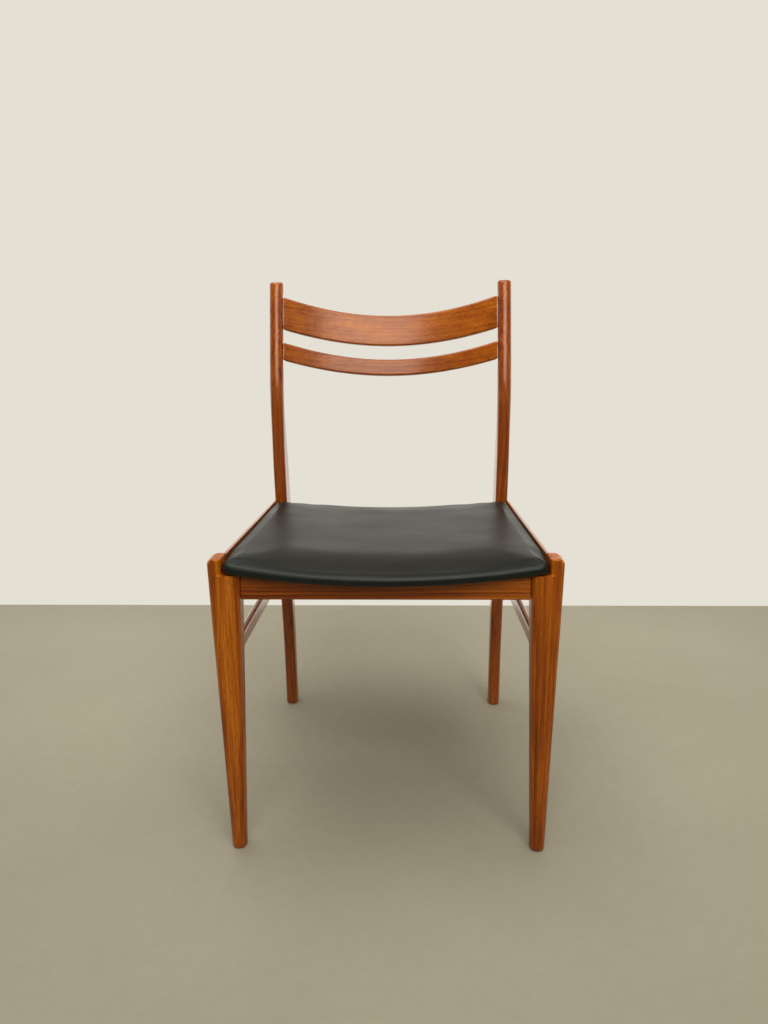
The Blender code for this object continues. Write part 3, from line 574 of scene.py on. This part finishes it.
def build_stretcher(label, shift):
    """A slim bar with well rounded edges. It runs to the leg and the post, where its tenons are hidden."""
    node = f"side_stretcher_{label}"
    corners = triangles(node)
    low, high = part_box(node)
    middle = (low.z + high.z) / 2
    leg_back = extents(triangles(f"front_leg_{label}"), middle)[3]
    post_front = extents(triangles(f"rear_post_{label}"), middle)[2]
    start, end = leg_back + STRETCHER_GAP, post_front - STRETCHER_GAP
    keys = np.linspace(start + STRETCHER_READ, end - STRETCHER_READ, 12)
    read = []
    for y in keys:
        points = section(corners, 1, y)
        read.append([points[:, 0].min(), points[:, 0].max(), points[:, 2].min(), points[:, 2].max()])
    fit = [np.polynomial.Polynomial.fit(keys, np.array(read)[:, i], 1) for i in range(4)]
    rings = []
    for y in np.linspace(start, end, 30):
        x0, x1, z0, z1 = (float(f(y)) for f in fit)
        ring = rounded_ring(x0, x1, z0, z1, (STRETCHER_RADIUS,) * 4)
        rings.append([(x, y, z) for x, z in ring])
    look = teak(f"teak_stretcher_{label}", "Y", shift, 0.22, 0.8)
    return adopt(lofted(f"{node}_smooth", rings), look, "teak", node)


# ---------------------------------------------------------------- CAD members, given their looks
def dress(node, look):
    obj = NODES[node]
    obj.data.materials.clear()
    obj.data.materials.append(look)


def dress_frame():
    dress("front_rail", teak("teak_front_rail", "X", (0.051, 0.024, 0.4)))
    dress("rear_rail", teak("teak_rear_rail", "X", (0.043, 0.062, 1.4)))
    for label, across in (("left", 0.03), ("right", 0.53)):
        look = teak(f"teak_side_rail_{label}", "Y", (across, 0.05, 0.2), 0.2, 0.9)
        dress(f"side_rail_{label}", look)
    raw = wood("beech", "X", (0.2, 0.1, 0.0), BEECH, gloss=0.6, coat=0.0, pores=0.25)
    ply, screw = plywood(), steel()
    for node in NODES:
        if node.startswith(("dowel", "corner_block")):
            dress(node, raw)
        elif node.startswith("seat_screw"):
            dress(node, screw)
    dress("seat_board", ply)


# ---------------------------------------------------------------- the padded seat
SEAT_STEPS = 48
SEAT_CORNER = 0.0110  # radius of the outline's corners
FRONT_BOW, REAR_BOW = 0.0180, 0.0135
SEAT_SLOPE = 0.048  # down for each metre back
SEAT_DISH = 0.0125  # how much lower the middle lies than the sides
SEAT_CROWN, CROWN_SHARE = 0.0035, 0.35  # its height, and the share of the way in over which it rises
EDGE_THICKNESS = 0.0170
ROLL_WIDTH, ROLL_HEIGHT = 0.0125, 0.0105
ROLL_DEGREES = (90, 77, 64, 51, 38, 25, 12, 0)
SIDE_ROLL = 0.55  # of the front's roll, beside the rails
TOP_INSET = 0.005  # between the roll and the top sheet
PADDING_HEIGHT, PADDING_INSET = 0.0081, 0.012  # of the face over the board, from the cover's underside
# (inset, height) down the side and round under it, then back along the board and up its edge
SIDE_PROFILE = ((0.0, 0.0058), (0.0, 0.0042), (0.0002, 0.0027), (0.0009, 0.0013), (0.0021, 0.0004))
HEM_PROFILE = ((0.0040, 0.0), (0.0130, 0.0), (0.0158, 0.0), (0.0162, 0.0003), (0.0162, 0.0009))
BOARD_PROFILE = ((0.0158, 0.0012), (0.0110, 0.0012), (0.0055, 0.0012), (0.0035, 0.0014))
BOARD_EDGE = ((0.0035, 0.0045), (0.0035, 0.0077), (0.0045, PADDING_HEIGHT))
HELD_BELOW, FREE_WITHIN = 0.0085, 0.0075  # height up to which the cover is held, and freed over
CLOTH_FRAMES = 20
SIM_CAP = 0.0040  # the most that any point may move
FRONT_SHARE, FRONT_REACH = 0.3, 0.03  # how much of the forward movement stays, and how far back
WAVE, RIPPLE = 0.00050, 0.00016  # heights of the slow and the fine waves
REAR_CALM = 0.06  # the waves fade over this before the rear edge


class Seat:
    """The seat's plan and heights, read from the CAD cover."""

    def __init__(self):
        corners = triangles("seat_cover")
        low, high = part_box("seat_cover")
        self.front, self.rear = low.y + FRONT_BOW, high.y - REAR_BOW
        inward, behind, rim = 0.03, 0.1, 0.006  # where the sides' taper and the underside are read
        spots = (self.front + inward, self.rear - inward)
        halves = [section(corners, 1, y)[:, 0].max() for y in spots]
        self.taper = (halves[1] - halves[0]) / (spots[1] - spots[0])
        self.half_front = halves[0] - self.taper * (spots[0] - self.front)
        self.post_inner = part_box("rear_rail")[1].x
        side = section(corners, 1, self.front + behind)
        lowest = side[:, 2][np.abs(side[:, 0]) > halves[0] - rim].min()
        self.under_side = lowest + SEAT_SLOPE * behind

    def half(self, y):
        return self.half_front + self.taper * (y - self.front)

    def under(self, x, y):
        """The cover's underside: it slopes back and is dished across."""
        across = clamp(abs(x) / self.half(y))
        return self.under_side - SEAT_SLOPE * (y - self.front) - SEAT_DISH * (1 - across * across)

    def edge(self, u, v, inset):
        """Where (u, v) on the edge of the unit square lies on the rounded outline, moved in by inset."""
        y = mix(self.front, self.rear, (v + 1) / 2)
        for _ in range(3):
            half = self.half(y) - inset
            x = u * half
            front = self.front - FRONT_BOW * (1 - u * u) + inset
            rear = self.rear + REAR_BOW * (1 - clamp(abs(x) / self.post_inner) ** 4) - inset
            y = mix(front, rear, (v + 1) / 2)
        radius = SEAT_CORNER - 0.5 * inset
        edge_y, away = (front, 1) if v < 0 else (rear, -1)
        dx, dy = half - abs(x), (y - edge_y) * away
        if dx < radius and dy < radius:
            centre = Vector((half - radius, edge_y + away * radius))
            towards = (Vector((abs(x), y)) - centre).normalized() * radius
            x, y = math.copysign(centre.x + towards.x, x), centre.y + towards.y
        return x, y

    def place(self, u, v, inset):
        """(x, y) of any (u, v) in the unit square, and how far out it lies, 0 to 1."""
        reach = max(abs(u), abs(v))
        middle = (self.front - FRONT_BOW + self.rear + REAR_BOW) / 2
        if reach < 1e-9:
            return 0.0, middle, 0.0
        x, y = self.edge(u / reach, v / reach, inset)
        return x * reach, mix(middle, y, reach), reach


def seat_shell(seat):
    """The padded cover as one closed quad mesh, open underneath where the board lies in it."""
    steps = SEAT_STEPS
    line = [math.sin(mix(-1, 1, i / steps) * math.pi / 2) for i in range(steps + 1)]
    border = [(i, 0) for i in range(steps)] + [(steps, j) for j in range(steps)]
    border += [(i, steps) for i in range(steps, 0, -1)] + [(0, j) for j in range(steps, 0, -1)]
    made = bmesh.new()

    def sheet(inset, height, turned):
        rows = []
        for i in range(steps + 1):
            row = []
            for j in range(steps + 1):
                x, y, reach = seat.place(line[i], line[j], inset)
                row.append(made.verts.new((x, y, seat.under(x, y) + height(reach))))
            rows.append(row)
        for i in range(steps):
            for j in range(steps):
                quad = (rows[i][j], rows[i + 1][j], rows[i + 1][j + 1], rows[i][j + 1])
                made.faces.new(reversed(quad) if turned else quad)
        return [rows[i][j] for i, j in border]

    def crown(reach):
        return EDGE_THICKNESS + SEAT_CROWN * smooth((1 - reach) / CROWN_SHARE)

    loop = sheet(ROLL_WIDTH + TOP_INSET, crown, False)
    profile = []
    for degrees in ROLL_DEGREES:
        angle = math.radians(degrees)
        profile.append((ROLL_WIDTH * (1 - math.cos(angle)), ROLL_HEIGHT * (1 - math.sin(angle))))
    rolled = len(profile)
    profile += SIDE_PROFILE + HEM_PROFILE + BOARD_PROFILE + BOARD_EDGE
    for number, (inset, height) in enumerate(profile):
        ring = []
        for i, j in border:
            reach = max(abs(line[i]), abs(line[j]))
            u, v = line[i] / reach, line[j] / reach
            if number < rolled:
                # the roll is fullest in front, from v = -0.94, and slimmest behind v = -0.63
                fullness = mix(SIDE_ROLL, 1.0, smooth(-3.2 * v - 2.0))
                x, y = seat.edge(u, v, inset * fullness)
                z = EDGE_THICKNESS - height * fullness
            else:
                x, y = seat.edge(u, v, inset)
                z = height
            ring.append(made.verts.new((x, y, seat.under(x, y) + z)))
        for k in range(len(loop)):
            n = (k + 1) % len(loop)
            made.faces.new((loop[n], loop[k], ring[k], ring[n]))
        loop = ring
    ceiling = sheet(PADDING_INSET, lambda reach: PADDING_HEIGHT, True)
    for k in range(len(loop)):
        n = (k + 1) % len(loop)
        made.faces.new((loop[n], loop[k], ceiling[k], ceiling[n]))
    return finished("seat_pad", made)


def freedom(seat, point):
    """How freely the cover may move at a point: not at all underneath, fully on top."""
    return smooth((point.z - seat.under(point.x, point.y) - HELD_BELOW) / FREE_WITHIN)


def puffed(pad, seat):
    """Where the cover's points go when it is blown up as cloth and held to SIM_CAP.

    Nothing moves sideways, so that the pad stays clear of the rails beside it.
    """
    rest = np.array([v.co for v in pad.data.vertices], float)
    group = pad.vertex_groups.new(name="held")
    for vertex in pad.data.vertices:
        group.add([vertex.index], 1.0 - freedom(seat, vertex.co), "REPLACE")
    cloth = pad.modifiers.new("cloth", "CLOTH")
    settings = cloth.settings
    settings.quality = 6
    settings.mass = 0.3
    settings.tension_stiffness = settings.compression_stiffness = 30
    settings.shear_stiffness = 12
    settings.bending_stiffness = 2.0
    settings.use_pressure = True
    settings.uniform_pressure_force = 3.0
    settings.effector_weights.gravity = 0
    settings.vertex_group_mass = "held"
    cloth.collision_settings.use_collision = False
    scene = bpy.context.scene
    scene.frame_start, scene.frame_end = 1, CLOTH_FRAMES
    for number in range(1, CLOTH_FRAMES + 1):
        scene.frame_set(number)
    graph = bpy.context.evaluated_depsgraph_get()
    blown = pad.evaluated_get(graph).to_mesh()
    moved = np.array([v.co for v in blown.vertices], float) - rest
    pad.evaluated_get(graph).to_mesh_clear()
    pad.modifiers.remove(cloth)
    scene.frame_set(1)
    size = np.linalg.norm(moved, axis=1)
    moved *= (SIM_CAP * np.tanh(size / SIM_CAP) / np.maximum(size, 1e-9))[:, None]
    moved[:, 0] = 0.0
    moved[:, 1] *= (rest[:, 1] < seat.front + FRONT_REACH) * FRONT_SHARE
    return rest + moved


def move(pad, points):
    pad.data.vertices.foreach_set("co", points.astype(np.float32).ravel())


def creased(seat, points):
    """Slow waves and finer ripples of leatherette over foam. The rear edge stays a clean line."""
    for k, (x, y, z) in enumerate(points):
        free = freedom(seat, Vector((x, y, z)))
        slow = noise.noise(Vector((x * 16, y * 16, 3.1)))
        fine = noise.noise(Vector((x * 48, y * 48, 7.7)))
        calm = smooth((seat.rear - y) / REAR_CALM)
        points[k][2] += free * calm * (WAVE * slow + RIPPLE * fine)
    return points


def build_seat():
    seat = Seat()
    pad = seat_shell(seat)
    move(pad, puffed(pad, seat))
    move(pad, creased(seat, np.array([v.co for v in pad.data.vertices], float)))
    pad.data.update()
    finer = pad.modifiers.new("smoother", "SUBSURF")
    finer.levels = finer.render_levels = 1
    adopt(pad, leatherette(), "leatherette", "seat_cover", "seat_foam")


def main():
    for label, side in SIDES:
        build_post(label)
        build_leg(label, side)
    build_slat("top_slat", (0.10, 0.075, 0.3))
    build_slat("lower_slat", (0.16, 0.055, 1.1))
    build_stretcher("left", (0.4, 0.02, 0.1))
    build_stretcher("right", (0.9, 0.05, 0.6))
    dress_frame()
    build_seat()


# ---------------------------------------------------------------- stage
WALL_GAP = 0.45  # behind the chair, where the floor meets the wall
WALL_COLOUR, WALL_STRENGTH = (0.84, 0.80, 0.71, 1), 0.93
# (axis, from, to, share at from, share at to): the room is brightest behind the chair and low down
ROOM_SHARES = (("Y", -0.2, 0.4, 0.16, 1.0), ("Z", 0.20, 0.40, 1.5, 0.36))
LAMP_AIM = Vector((0, 0, 0.4))
# (name, place, size, watts, colour)
LAMPS = (
    ("key", (0.35, -2.3, 2.2), (2.4, 1.4), 62, (1.0, 0.97, 0.92)),
    ("top", (-0.1, -0.2, 2.7), (2.8, 1.8), 58, (1.0, 0.98, 0.94)),
)
CAMERA_PLACE = (0.0279, -1.1655, 0.7419)
CAMERA_TURNS = (14.6725, 0.5395, 1.7297)  # pitch, roll and yaw in degrees
CAMERA_LENS, CAMERA_SENSOR = 27.09421875, 36.0  # mm


def build_stage():
    floor = bmesh.new()
    back = CAD_HIGH.y + WALL_GAP
    corners = [floor.verts.new(p) for p in ((-5, -6, 0), (5, -6, 0), (5, back, 0), (-5, back, 0))]
    floor.faces.new(corners)
    ground = finished("floor", floor, shade=False)
    ground.data.materials.append(floor_material())
    build_world()
    for name, place, size, watts, colour in LAMPS:
        data = bpy.data.lights.new(name, "AREA")
        data.shape = "RECTANGLE"
        data.size, data.size_y = size
        data.energy = watts
        data.color = colour
        lamp = bpy.data.objects.new(name, data)
        lamp.location = place
        aim = LAMP_AIM - Vector(place)
        lamp.rotation_euler = aim.to_track_quat("-Z", "Y").to_euler()
        bpy.context.scene.collection.objects.link(lamp)


def build_world():
    """A plain wall where it is seen directly, and a softly graded room for light and reflections."""
    world = bpy.data.worlds.new("studio")
    world.use_nodes = True
    nodes, links = world.node_tree.nodes, world.node_tree.links
    place = nodes.new("ShaderNodeTexCoord")
    parts = nodes.new("ShaderNodeSeparateXYZ")
    links.new(place.outputs["Generated"], parts.inputs[0])
    product = nodes.new("ShaderNodeMath")
    product.operation = "MULTIPLY"
    for socket, (axis, low, high, to_low, to_high) in zip(product.inputs, ROOM_SHARES):
        node = nodes.new("ShaderNodeMapRange")
        links.new(parts.outputs[axis], node.inputs["Value"])
        for key, number in (("From Min", low), ("From Max", high), ("To Min", to_low), ("To Max", to_high)):
            node.inputs[key].default_value = number
        links.new(node.outputs["Result"], socket)
    direct = nodes.new("ShaderNodeLightPath")
    plain = nodes.new("ShaderNodeMix")
    links.new(direct.outputs["Is Camera Ray"], plain.inputs[0])
    links.new(product.outputs[0], plain.inputs[2])
    plain.inputs[3].default_value = WALL_STRENGTH
    background = nodes["Background"]
    background.inputs["Color"].default_value = WALL_COLOUR
    links.new(plain.outputs[0], background.inputs["Strength"])
    bpy.context.scene.world = world


def build_camera():
    pitch, roll, yaw = (math.radians(a) for a in CAMERA_TURNS)
    forward = Vector((-math.sin(yaw) * math.cos(pitch), math.cos(yaw) * math.cos(pitch), -math.sin(pitch)))
    right = Vector((math.cos(yaw), math.sin(yaw), 0))
    up = right.cross(forward)
    across = math.cos(roll) * right - math.sin(roll) * up
    upwards = math.sin(roll) * right + math.cos(roll) * up
    data = bpy.data.cameras.new("camera")
    data.sensor_width = CAMERA_SENSOR
    data.lens = CAMERA_LENS
    camera = bpy.data.objects.new("camera", data)
    rows = [[across[i], upwards[i], -forward[i], CAMERA_PLACE[i]] for i in range(3)]
    camera.matrix_world = Matrix(rows + [[0, 0, 0, 1]])
    bpy.context.scene.collection.objects.link(camera)
    bpy.context.scene.camera = camera


main()
build_stage()
build_camera()
bpy.context.scene.view_settings.view_transform = "Standard"
